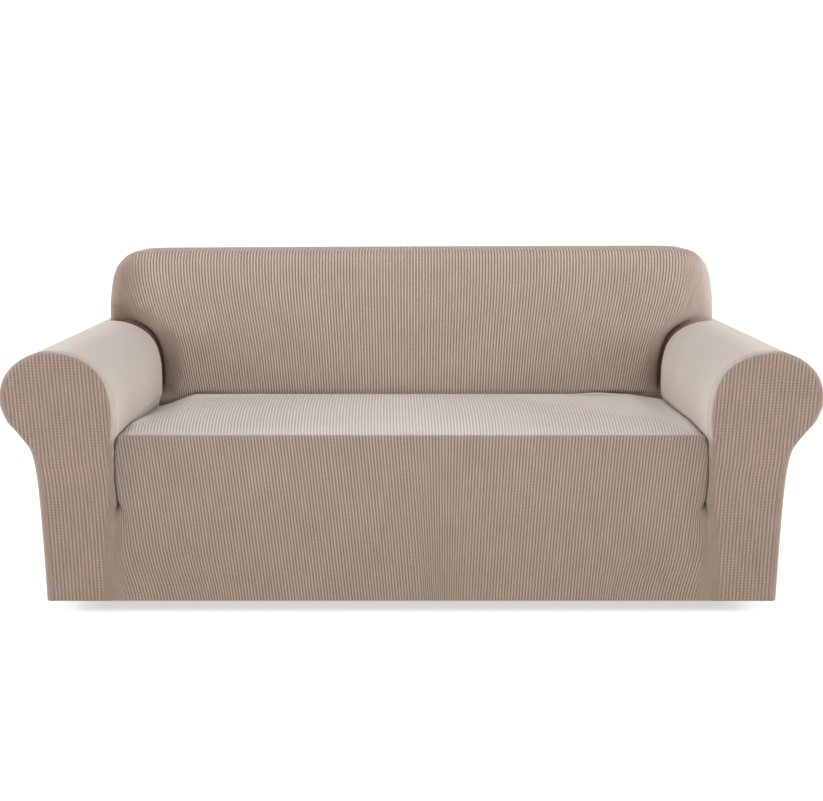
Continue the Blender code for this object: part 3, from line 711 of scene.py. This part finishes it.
# inside back
back = {
    "perRib": 4, "ribHeight": 0.0012, "behind": 0.014, "behindLow": 0.022, "lowSide": 0.612, "cornerEase": 0.50,
    "columnsTo": 1.20,
    # share of the way down from the top of the face, and share of the whole lean reached there
    "leanShare": ((0.0, 0.0), (0.09, 0.014), (0.19, 0.07), (0.34, 0.235), (0.50, 0.466), (0.65, 0.663),
                  (0.77, 0.787), (0.88, 0.887), (1.0, 1.0)),
    # place across, how far its rib leans towards the middle
    "lean": ((0.0, 0.0), (0.15, 0.010), (0.27, 0.021), (0.45, 0.044), (0.60, 0.060), (0.70, 0.074),
             (0.80, 0.100), (0.89, 0.125), (1.2, 0.16)),
}


def backX(u, z):
    down = np.clip((0.80 - z) / 0.375, 0.0, 1.0)
    share = np.interp(down, *np.array(back["leanShare"]).T)
    return u - np.sign(u) * np.interp(np.abs(u), *np.array(back["lean"]).T) * share


def makeInsideBack():
    bend, arc = form["backRound"], form["backRound"] * math.pi / 2
    rearEdge = cloth["rearSeam"] - cloth["seam"]
    inner = backLine - normalsAway(backLine, (0.0, 0.6)) * bend
    inner[:, 0] = np.minimum(inner[:, 0], form["backSide"] - bend)
    rim = evenLine(mirroredLine(inner), 0.003)
    normal = normalsAway(rim, (0.0, 0.6))
    normal[0], normal[-1] = (-1.0, 0.0), (1.0, 0.0)
    # inner half of the arm's section, up to the top of the roll
    section = armLine[int(np.argmax(armLine[:, 1])):]
    section = section[section[:, 1] > form["tuck"]][::-1]

    def atCorner(away):
        return 2.0 * np.abs(away[:, 0] * away[:, 1])

    def wallLength(left, away):
        # length of the cloth from the round to the rear seam, true and as it is laid out, shorter at the corners
        length = rearEdge - backFace(left[:, 0], left[:, 1]) - bend
        return length, length * (1.0 - back["cornerEase"] * atCorner(away))

    def boundary(z):
        # how far out the face goes behind the end of the sleeve
        x = np.interp(z, section[:, 1], section[:, 0])
        reachIn = back["behind"] + (back["behindLow"] - back["behind"]) * fading(0.54, 0.60, z)
        return x + reachIn + form["splay"]

    coarse = np.linspace(0.0, back["columnsTo"], 370)
    upward = np.linspace(0.60, 1.06, 240)
    xs = backX(coarse[:, None], upward)
    foot, away, out, _ = nearest(rim, normal, xs, upward)
    end = crossings(upward, (out - arc - wallLength(foot, away)[1]).reshape(xs.shape))
    lowSide = back["lowSide"]
    uLimit = coarse[end > lowSide + 0.004].max()
    u = ribColumns(-uLimit, uLimit, pitches["back"], back["perRib"])
    high = np.interp(np.abs(u), coarse, end)[:, None]
    lowRows = np.concatenate([np.linspace(*ends, endpoint=False) for ends in (
        (form["tuck"], 0.400, 2), (0.400, 0.445, 7), (0.445, 0.565, 9), (0.565, lowSide, 9))])
    middle = lowSide + np.linspace(0.0, 0.033, 6) * np.clip((high - lowSide) / 0.053, 0.0, 1.0)
    highRows = np.concatenate([np.linspace(0.0, 0.62, 8)[1:], np.linspace(0.62, 0.97, 10)[1:], [1.0]])
    z = np.concatenate([lowRows + 0 * high, middle, middle[:, -1:] + (high - middle[:, -1:]) * highRows], axis=1)
    uGrid = u[:, None] + 0 * z
    x = backX(uGrid, z)
    place, left, out, angle, away = overRound(rim, normal, bend, x, z)
    placeX, placeZ = place.T
    faceX, faceZ = left.T
    length, flatLength = wallLength(left, away)
    corner = smoothStep(0.05, 0.55, atCorner(away)) * smoothStep(-0.005, 0.025, out)
    wall = np.clip((out - arc) / flatLength, 0.0, 1.0) * length
    y = backFace(faceX, faceZ) + (bend * (1 - np.cos(angle)) + wall)
    # fold and dark crease beside the end of the sleeve
    armRun = evenLine(np.vstack([section, [[form["backSide"] + 0.01, 0.6235]]]), 0.0015)
    sideX = np.abs(placeX)
    shifted = sideX - form["splay"] * splayShare(sideX)
    gap = nearest(armRun, normalsAway(armRun, (0.9, 0.5)), shifted, placeZ)[2]
    onLeft = placeX < 0.0
    levels = (0.42, 0.47, 0.514, 0.558, 0.602)
    offset = np.where(onLeft, np.interp(placeZ, levels, (0.0024, 0.0024, 0.0042, 0.0056, 0.0095)),
                      np.interp(placeZ, levels, (0.0032, 0.0032, 0.0042, 0.0062, 0.0098)))
    wide = np.where(onLeft, 0.0026 + 0.0014 * smoothStep(0.47, 0.56, placeZ), 0.0050)
    onFace = fading(0.3, 1.2, angle) * smoothStep(0.40, 0.43, placeZ)
    sideFades = 1.0 - 0.85 * smoothStep(0.775, 0.850, sideX)
    lowEnd = fading(0.420, 0.455, placeZ)
    lineFades = 1.0 - 0.75 * lowEnd
    groove = 0.013 * np.exp(-(((gap - offset) / wide) ** 2)) * onFace * sideFades * lineFades
    bulge = 0.0025 * np.exp(-(((gap - offset * 0.35) / (offset * 0.45)) ** 2)) * onFace * sideFades
    lift = 0.0030 * smoothStep(0.0, 0.020, gap - offset) * fading(0.03, 0.10, gap - offset) * onFace
    y = y + groove - bulge - lift * smoothStep(0.45, 0.5, placeZ)
    soft = 0.0022 * np.sin(faceX * 5.0 + 0.5) * np.sin(faceZ * 12.0 + faceX * 3.0)
    y = y + soft * smoothStep(0.0, 0.06, -out)
    # pushed in and folded over along the seat
    seatLine = seatTop(placeX, form["seatRear"]) - 0.005
    pushed = 0.003 + 0.007 * smoothStep(0.50, 0.66, sideX)
    y = y + pushed * fading(-0.004, 0.018, placeZ - seatLine) ** 1.5
    foldLine = seatLine + 0.004 + 0.008 * smoothStep(0.56, 0.70, placeX)
    fold = np.exp(-(((placeZ - foldLine) / 0.0022) ** 2)) * smoothStep(0.46, 0.56, placeX)
    y = y + 0.0045 * fold
    point = np.stack([placeX, y, placeZ], axis=1).reshape(x.shape + (3,))
    point[:, -1, 1] = rearEdge
    # smooth where it is pulled, beside the sleeves, at the outer ends and along the seat
    leftPlain = np.interp(placeZ, (0.40, 0.44, 0.50, 0.56, 0.62), (0.022, 0.026, 0.040, 0.048, 0.036))
    rightPlain = np.interp(placeZ, (0.42, 0.50, 0.56, 0.62), (0.016, 0.022, 0.028, 0.020))
    plain = np.where(onLeft, leftPlain, rightPlain)
    pullNear = fading(plain, plain + 0.040, gap) * fading(0.66, 0.72, placeZ)
    pullNear = pullNear * smoothStep(0.375, 0.395, placeZ)
    lower = fading(0.785, 0.825, placeZ)
    pullSide = 0.85 * smoothStep(0.765, 0.835, sideX) * lower
    nearSeat = fading(0.000, 0.014, placeZ - seatLine)
    pull = np.clip(np.max([pullNear, pullSide, 0.8 * nearSeat, corner], axis=0), 0.0, 0.95).reshape(x.shape)
    # painted light on the upper right end and along the middle of the foot
    clothToneAndPaintedLight = np.maximum(smoothStep(0.75, 0.86, placeX) * lower * smoothStep(0.60, 0.66, placeZ),
                      nearSeat * fading(0.15, 0.42, sideX))
    still = np.maximum(pull, corner.reshape(x.shape))
    still[:, -1] = 1.0
    point = raised(point, uGrid, pitches["back"], back["ribHeight"], still, (0, -1, 0.4))
    point[:, :, 1] = np.minimum(point[:, :, 1], rearEdge)
    # painted shade: dark in the crease, beside the ends of the sleeves, along the fold, at the left end, along the
    # foot and most in the pockets at both its ends, and a little darker higher up and on the top round
    strength = (0.45 + 0.45 * fading(0.48, 0.58, placeZ)) * sideFades * lineFades
    paintedBackShade = strength * np.exp(-(((gap - offset) / (wide + 0.0004)) ** 2))
    paintedBackShade = paintedBackShade + 0.25 * fading(offset - 0.003, offset + 0.001, gap)
    upper = smoothStep(0.50, 0.58, placeZ)
    deeper = np.where(onLeft, 0.72 - 0.50 * upper, 0.92 - 0.42 * upper)
    paintedBackShade = paintedBackShade + deeper * np.exp(-np.maximum(gap, 0.0) / (0.042 - 0.024 * upper)) * sideFades
    paintedBackShade = paintedBackShade + np.where(onLeft, 0.26, 0.12 * (1.0 - upper)) * pullNear
    paintedBackShade = paintedBackShade + np.where(onLeft, 0.20, -0.25) * np.exp(-((gap / 0.030) ** 2)) * lowEnd
    paintedBackShade = np.minimum(paintedBackShade, 1.0 - 0.42 * lowEnd)
    paintedFootShade = 0.35 * smoothStep(0.42, 0.60, placeX) + 0.15 * smoothStep(0.25, 0.60, -placeX)
    paintedFootShade = (paintedFootShade + 0.45 * smoothStep(0.66, 0.70, -placeX)) * nearSeat
    paintedBackShade = np.maximum(paintedBackShade * onFace, paintedFootShade) + 0.4 * fold + 0.36 * smoothStep(0.74, 0.85, -placeX) * lower
    paintedBackShade = paintedBackShade + 0.13 * smoothStep(0.48, 0.60, placeZ) + 0.10 * smoothStep(0.795, 0.825, placeZ)
    marks = {"pulled": pull, "shaded": paintedBackShade.reshape(x.shape), "clothToneAndPaintedLight": clothToneAndPaintedLight.reshape(x.shape)}
    cellX = np.abs(point[:, :, 0])
    cellX = (cellX[1:, 1:] + cellX[:-1, 1:] + cellX[1:, :-1] + cellX[:-1, :-1]) / 4
    hidden = (cellX > boundary((z[:-1, 1:] + z[:-1, :-1]) / 2)) | (cellX > 0.825)

    def cut(i, j):
        return j < len(lowRows) and hidden[i, j]

    flat = np.stack([uGrid, z], axis=2)
    panel = finished("backPanel", slanted(point), flat, marks, (0, -1, 0.4), knits["back"], cut)
    declared(panel, "inside_back")


makeInsideBack()


# rear panel
rear = {"perRib": 4, "ribHeight": 0.0011, "round": 0.010, "wall": 0.0025, "meet": 0.6245, "hemHalf": 0.911}


def makeRear():
    side, bend, meet = form["backSide"], rear["round"], rear["meet"]
    outer = armLine[: int(np.argmax(armLine[:, 1]))]
    outer = outer[outer[:, 0] > side]
    upper = backLine[backLine[:, 1] > meet + 0.004]
    outline = evenLine(mirroredLine(np.vstack([outer, [[side, meet]], upper])), 0.002)
    normal = normalsAway(outline, (0.0, 0.4))
    rim = outline - normal * bend
    arc = bend * math.pi / 2
    reach = arc + rear["wall"]
    uLimit = 1.0 + reach - bend - 0.0002
    u = ribColumns(-uLimit, uLimit, pitches["rear"], rear["perRib"])
    levels = np.linspace(-0.01, 0.86, 436)
    inside = nearest(rim, normal, u[:, None], levels)[2].reshape(len(u), len(levels)) <= reach
    inside[:, levels < 0.0] = False
    lowest = np.where(np.abs(u) <= rear["hemHalf"] + reach - bend, 0.0, levels[np.argmax(inside, axis=1)])
    # for a column that is nowhere inside, any level does
    highest = np.array([levels[np.flatnonzero(column)[-1]] if column.any() else 0.5 for column in inside])
    outside = np.abs(u) > side + reach - bend
    middle = np.where(outside, highest, meet - 0.004)[:, None]
    low = np.minimum(lowest[:, None], middle - 0.001)
    lowerRows = np.concatenate([[0.0, 0.006], np.linspace(0.03, 0.93, 16), np.linspace(0.945, 1.0, 6)])
    upperRows = np.concatenate([np.linspace(0.06, 0.86, 8), np.linspace(0.89, 1.0, 9)])
    upperLength = np.maximum(highest[:, None], middle + 0.001) - middle
    z = np.concatenate([low + (middle - low) * lowerRows, middle + upperLength * upperRows], axis=1)
    x = u[:, None] + 0 * z
    place, _, out, angle, _ = overRound(rim, normal, bend, x, z, reach)
    y = cloth["depth"] - (bend * (1 - np.cos(angle)) + np.clip(out - arc, 0.0, None))
    y = np.maximum(y, cloth["rearSeam"] + cloth["seam"])
    point = np.stack([place[:, 0], y, np.maximum(place[:, 1], 0.0)], axis=1).reshape(x.shape + (3,))
    still = np.clip(out / arc, 0.0, 1.0).reshape(x.shape)
    point = raised(point, x, pitches["rear"], rear["ribHeight"], still, (0, 1, 0))
    point[:, :, 1] = np.minimum(point[:, :, 1], cloth["depth"])

    def cut(i, j):
        return j >= len(lowerRows) - 1 and (outside[i] or outside[i + 1])

    flat = np.stack([x, z], axis=2)
    panel = finished("rearPanel", slanted(point), flat, {"pulled": still}, (0, 1, 0), knits["rear"], cut)
    declared(panel, "outside_back")


makeRear()


# arm sleeves
sleeve = {"around": 120, "forward": 46, "behind": 10}


def makeSleeve(name, node, side):
    backSide, bend = form["backSide"] + cloth["crevice"], form["backRound"]
    roundFrom = form["backSide"] - bend
    step = 0.001
    line = evenLine(armLine, step)
    run = lengths(line) / lengths(line)[-1]
    turning = np.abs(np.gradient(np.unwrap(np.arctan2(*np.gradient(line, axis=0).T[::-1]))))
    # more columns where the line turns, as 0.10 rad of turning counts like 20 mm of length, and some at the places
    # where the back's round and side meet the sleeve
    measure = np.concatenate([[0.0], np.cumsum(step / 0.02 + (turning[1:] + turning[:-1]) / 2 / 0.10)])
    shares = np.interp(np.linspace(0.0, measure[-1], sleeve["around"]), measure, run)
    over = slice(int(np.argmax(line[:, 0])), int(np.argmin(line[:, 0])))
    turned = np.linspace(0.0, math.pi / 2, 9)[:-1]
    fixed = np.interp(np.append(roundFrom + bend * np.sin(turned), backSide), line[over, 0][::-1], run[over][::-1])
    shares = shares[np.abs(shares[:, None] - fixed).min(axis=1) > 0.002]
    shares = np.sort(np.concatenate([shares, fixed]))
    corner = int(np.argmin(np.abs(shares - fixed[-1])))
    section = np.column_stack([np.interp(shares, run, line[:, k]) for k in (0, 1)])
    x, z = section.T
    share = np.clip((x - roundFrom) / bend, 0.0, 1.0)
    stop = backFace(x, z) + bend * (1.0 - np.sqrt(1.0 - share**2)) - 2 * cloth["seam"] - cloth["crevice"] / 2
    stop = np.where(np.arange(len(x)) > corner, stop, backFace(np.array(backSide), z[corner]) + bend)[:, None]
    front, rearEdge = form["frontSeam"] + cloth["seam"], cloth["rearSeam"] - cloth["seam"]
    near = np.concatenate([[0.0, 0.003, 0.008], np.linspace(0.02, 0.97, sleeve["forward"] - 6), [0.985, 0.995, 1.0]])
    far = np.linspace(0.0, 1.0, sleeve["behind"] + 1)[1:]
    y = np.concatenate([front + (stop - front) * near, stop + (rearEdge - stop) * far], axis=1)
    grid = np.stack([splayed(x[:, None] + 0 * y, y), y, z[:, None] + 0 * y], axis=2)
    inward = -normalsAway(section, (0.86, 0.4))
    shares = shares[:, None]
    hollow = np.sin(math.pi * np.clip((y - front) / (stop - front), 0.0, 1.0))
    sag = 0.0018 * hollow * (0.6 + 0.4 * np.sin(shares * 23.0 + y * 6.0))
    sag = sag * smoothStep(0.02, 0.10, shares) * fading(0.90, 0.98, shares)
    grid[:, :, 0] += inward[:, None, 0] * sag
    grid[:, :, 2] += inward[:, None, 1] * sag
    grid[:, :, 0] *= side

    def cut(i, j):
        return i >= corner and j >= len(near) - 1

    flat = np.stack([shares * lengths(line)[-1] + 0 * y, y], axis=2)
    # painted shade beside the seat's edge, and painted light low on the inner side
    drop = form["cornerDrop"][side > 0] * smoothStep(0.15, 0.85, y / form["seatRear"]) * 0.9
    atSeat = form["seatHeight"] - 0.004 - drop
    innerSide = np.abs(grid[:, :, 0]) < 0.80
    shade = 0.55 * fading(atSeat - 0.005, atSeat + 0.009, grid[:, :, 2]) * innerSide
    clothToneAndPaintedLight = fading(0.46, 0.61, grid[:, :, 2]) * innerSide
    marks = {"pulled": np.zeros(y.shape), "shaded": shade, "clothToneAndPaintedLight": clothToneAndPaintedLight}
    panel = finished(name, grid, flat, marks, (0, 0, 1), knits["sleeve"], cut)
    declared(panel, node)


makeSleeve("sleeveLeft", "arm_sleeve_left", -1)
makeSleeve("sleeveRight", "arm_sleeve_right", 1)


# arm fronts
arm = {
    "perRib": 6, "ribHeight": 0.0013, "lean": 0.045, "leanFrom": 0.62, "wall": 0.0025, "rows": 44, "lowRows": 24,
    "split": 0.350,
}


def makeArmFront(name, node, side):
    bend, arc, split = form["frontRound"], form["frontRound"] * math.pi / 2, arm["split"]
    low = np.linspace(0.368, 0.0, 90)
    outline = evenLine(np.vstack([armLine, np.column_stack([creaseAt(low) + creaseHalf(low), low])]), 0.0015)
    normal = normalsAway(outline, (0.83, 0.3))
    innermost = int(np.argmin(outline[:, 0]))
    index = np.arange(len(outline))
    below = (index > innermost) & (outline[:, 1] < form["pushedTop"])
    share = np.where(below, creaseOpen(outline[:, 1]), 1.0)
    width = form["creaseSlope"] * (1 - share) + bend * share
    kernel = np.hanning(15) / np.hanning(15).sum()
    smooth = np.column_stack([np.convolve(np.pad(normal[:, k], 7, mode="edge"), kernel, "valid") for k in (0, 1)])
    normal = smooth / np.linalg.norm(smooth, axis=1, keepdims=True)
    normal[0], normal[-1] = (1.0, 0.0), (-1.0, 0.0)
    rim = outline - normal * width[:, None]
    reachAll = np.where(below, (arc + arm["wall"]) * share + form["creaseSlope"] * (1 - share), arc + arm["wall"])
    leftX = rim[:, 0] - reachAll
    wanted = leftX.copy()
    for k in range(len(outline) - 2, innermost, -1):
        wanted[k] = min(wanted[k], wanted[k + 1])
    reachAll = np.where(index > innermost, reachAll + (leftX - wanted), reachAll)
    straight = armLine[armLine[:, 0] > 0.86]
    straight = straight[straight[:, 1] < 0.41]

    def outerX(z):
        return np.interp(z, straight[:, 1], straight[:, 0])

    def armX(u, z):
        under = np.where(z < split, outerX(split) - outerX(z), 0.0)
        close = 0.0045 * np.exp(-np.maximum(u - 0.728, 0.0) / 0.015)
        return u - arm["lean"] * (arm["leanFrom"] - np.maximum(z, split)) - under + close

    # the outermost column below the roll, and more columns beside the crease
    uEdge = outerX(split) + arm["lean"] * (arm["leanFrom"] - split) + arc + arm["wall"] - bend - 0.0002
    u = np.concatenate([ribColumns(0.690, 1.045, pitches["arm"], arm["perRib"]),
                        ribColumns(0.738, 0.777, pitches["arm"], 3 * arm["perRib"])])
    u = np.unique(np.round(u, 6))
    u = np.sort(np.append(u[np.abs(u - uEdge) > 0.0003], uEdge))
    levels = np.concatenate([np.linspace(0.0, split, 120), np.linspace(split, 0.645, 180)[1:]])
    xs = armX(u[:, None], levels)
    _, _, out, place = nearest(rim, normal, xs, levels)
    over = (out - np.interp(place, index, reachAll)).reshape(xs.shape)
    inside = over <= 0.0
    inside[u > uEdge + 0.0001] &= levels > split - 0.001
    inside[np.abs(u - uEdge) < 0.0001] |= levels <= split
    keep = inside.sum(axis=1) > 3
    u, over, inside = u[keep], over[keep], inside[keep]
    edge = int(np.argmin(np.abs(u - uEdge)))

    def crossing(k, a, b):
        # height where the cloth of column k ends, between two levels
        return np.interp(0.0, [over[k, a], over[k, b]], [levels[a], levels[b]])

    lowest, highest = np.empty((len(u), 1)), np.empty((len(u), 1))
    for k in range(len(u)):
        a, b = np.flatnonzero(inside[k])[[0, -1]]
        lowest[k] = levels[a] if a == 0 or over[k, a - 1] < 0 else crossing(k, a, a - 1)
        highest[k] = levels[b] if b == len(levels) - 1 else crossing(k, b, b + 1)
    meet = np.minimum(np.maximum(lowest, split), highest - 0.001)
    lowest = np.minimum(lowest, meet)
    t = np.linspace(0.0, 1.0, arm["lowRows"])
    lowerRows = 0.6 * t + 0.4 * (1.0 - np.cos(math.pi / 2 * t))
    t = np.linspace(0.0, 1.0, arm["rows"])
    upperRows = 0.35 * t + 0.65 * (0.5 - 0.5 * np.cos(math.pi * t))
    z = np.concatenate([lowest + (meet - lowest) * lowerRows[:-1], meet + (highest - meet) * upperRows], axis=1)
    uGrid = u[:, None] + 0 * z
    x = armX(uGrid, z)
    foot, away, out, place = nearest(rim, normal, x, z)
    reach, pushed, wide = (np.interp(place, index, values) for values in (reachAll, share, width))
    isBelow = np.interp(place, index, below.astype(float)) > 0.5
    level = np.clip(out / reach, 0.0, 1.0)
    # over the rim the cloth bends through a quarter turn, and in the crease it also goes on inwards
    angle = np.where(isBelow, np.clip(level / 0.6, 0.0, 1.0) * math.pi / 2, np.clip(out / bend, 0.0, math.pi / 2))
    inCrease = np.clip((level - 0.6) / 0.4, 0.0, 1.0) * (form["creaseDepth"] - bend)
    yPushed = bend * (1 - np.cos(angle)) + np.where(isBelow, inCrease, np.clip(out - arc, 0.0, None))
    # where the crease is shut it slopes back to the skirt's edge
    ySlope = (skirtFace(foot[:, 1]) - cloth["seam"] / 4) * level**1.4
    mix = np.where(isBelow, pushed, 1.0)
    outward = np.where(isBelow, np.sin(angle) * wide * mix + wide * level * (1 - mix), bend * np.sin(angle))
    y = yPushed * mix + ySlope * (1 - mix)
    beyond = out > 0.0
    placeX = np.where(beyond, foot[:, 0] + away[:, 0] * outward, x.ravel())
    placeZ = np.where(beyond, foot[:, 1] + away[:, 1] * outward, z.ravel())
    y = np.where(beyond, y, 0.0)
    y = y + pucker(placeX, placeZ) * (y > 0.0005)
    placeZ = np.maximum(placeZ, 0.0)
    point = np.stack([side * placeX, y, placeZ], axis=1).reshape(x.shape + (3,))
    # smooth along the rim and paler round the roll; painted shade low down, in the crease and on the inner strip,
    # and painted light in the crease's upper part
    inwards = np.clip(-away[:, 0], 0.0, 1.0)
    band = 0.0072 - 0.0125 * smoothStep(0.75, 0.98, away[:, 0]) - 0.0080 * inwards
    strip = smoothStep(band - 0.0045, band + 0.0035, out)
    strip = np.where(isBelow, smoothStep(-0.006, 0.004, out), strip)
    pull = np.clip(strip, 0.0, 1.0).reshape(x.shape)
    start = 0.0065 * (1.0 - inwards)
    clothToneAndPaintedLight = smoothStep(start - 0.001, start + 0.004, out) * fading(-0.1, 0.25, away[:, 0])
    clothToneAndPaintedLight = clothToneAndPaintedLight * smoothStep(0.395, 0.425, placeZ)
    lower = fading(0.30, 0.35, placeZ)
    shade = np.where(isBelow, pushed * smoothStep(0.55, 0.75, level), 0.0) * lower
    shade = np.maximum(shade, 0.10 * strip * inwards * fading(0.38, 0.42, placeZ))
    shade = np.maximum(shade, 0.08 * fading(0.10, 0.42, placeZ))
    # painted light lifts the upper part of the crease
    paintedCreaseLight = smoothStep(0.5, 0.8, level) * inwards * (1.0 - lower) * fading(0.39, 0.42, placeZ)
    clothToneAndPaintedLight = np.maximum(clothToneAndPaintedLight, 0.8 * paintedCreaseLight)
    still = np.clip(pull + smoothStep(0.008, 0.016, out).reshape(x.shape), 0.0, 1.0)
    point = raised(point, uGrid, pitches["arm"], arm["ribHeight"], still, (0, -1, 0))
    point[:, :, 1] = np.maximum(point[:, :, 1], 0.0)

    def cut(i, j):
        return i >= edge and j < len(lowerRows) - 1

    marks = {"pulled": pull, "clothToneAndPaintedLight": clothToneAndPaintedLight.reshape(x.shape), "shaded": shade.reshape(x.shape)}
    panel = finished(name, point, np.stack([uGrid, z], axis=2), marks, (0, -1, 0), knits["arm"], cut)
    declared(panel, node)


makeArmFront("armPanelLeft", "arm_front_left", -1)
makeArmFront("armPanelRight", "arm_front_right", 1)
